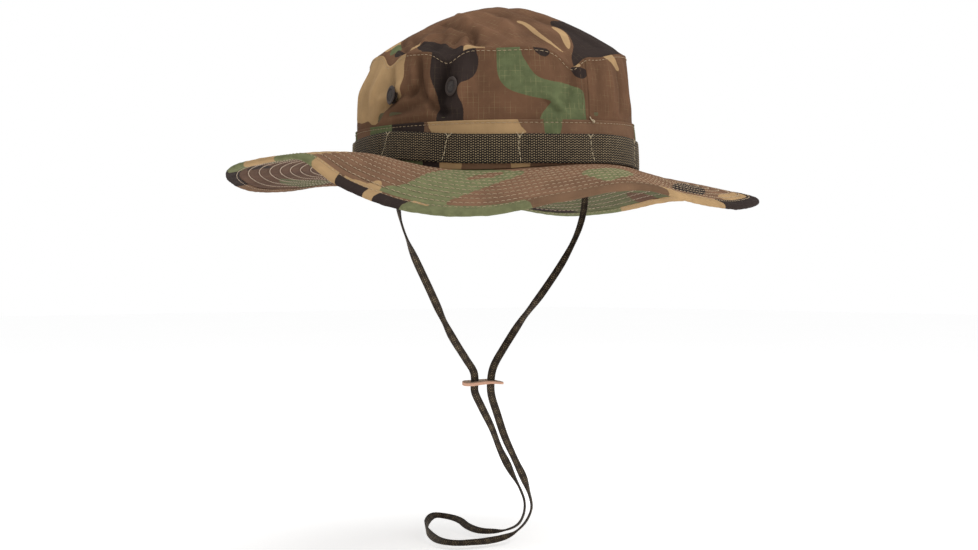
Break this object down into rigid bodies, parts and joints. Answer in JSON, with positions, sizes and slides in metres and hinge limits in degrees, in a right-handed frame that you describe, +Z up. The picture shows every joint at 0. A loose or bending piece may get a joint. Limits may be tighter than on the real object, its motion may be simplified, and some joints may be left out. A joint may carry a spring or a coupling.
{
  "type": "boonie hat",
  "caption": "Soft wide-brimmed field hat with a domed crown, quilted wavy brim, loop webbing, screened vents and a braided chin strap with a slider.",
  "frame": {"origin": "middle of the head opening, in the plane of the seam between crown and brim", "axes": "+Z up through the crown, -Y the front of the hat, +X the wearer's right"},
  "size_m": [0.3344, 0.3518, 0.3503],
  "materials": {
    "camo_cloth": "matte printed ripstop cotton",
    "olive_cloth": "matte twill",
    "webbing": "coarse plain weave",
    "thread": "matte thread",
    "interlining": "matte stiffened cotton",
    "vent_enamel": "black enamel",
    "braid": "flat braid",
    "slider_leather": "undyed leather",
    "label": "blank woven label"
  },
  "bodies": {
    "hat": {"crown_top_panel": "camo_cloth", "crown_side_left": "camo_cloth", "crown_side_right": "camo_cloth", "top_seam_tape": "olive_cloth", "side_seam_tape_front": "olive_cloth", "side_seam_tape_back": "olive_cloth", "outer_band": "camo_cloth", "branch_loop_webbing": "webbing", "webbing_tacks": "thread", "brim_upper_left": "camo_cloth", "brim_upper_right": "camo_cloth", "brim_interlining": "interlining", "brim_lower_left": "camo_cloth", "brim_lower_right": "camo_cloth", "brim_binding": "camo_cloth", "sweatband": "olive_cloth", "vent_eyelets": "vent_enamel", "vent_washers": "vent_enamel", "vent_screens": "vent_enamel", "strap_anchor_left": "olive_cloth", "strap_anchor_right": "olive_cloth", "size_label": "label"},
    "chin_strap": {"chin_strap_cord": "braid"},
    "slider": {"cord_slider": "slider_leather"}
  },
  "joints": [
    {"name": "chin_strap_swing", "type": "hinge", "parent": "hat", "child": "chin_strap", "pos_m": [0, 0, -0.002], "axis": [1, 0, 0], "range_deg": [-60, 60]},
    {"name": "cord_slider_slide", "type": "slide", "parent": "chin_strap", "child": "slider", "axis": [0, 0, 1], "range_m": [-0.02, 0.03], "deforming": ["chin_strap_cord"]}
  ]
}
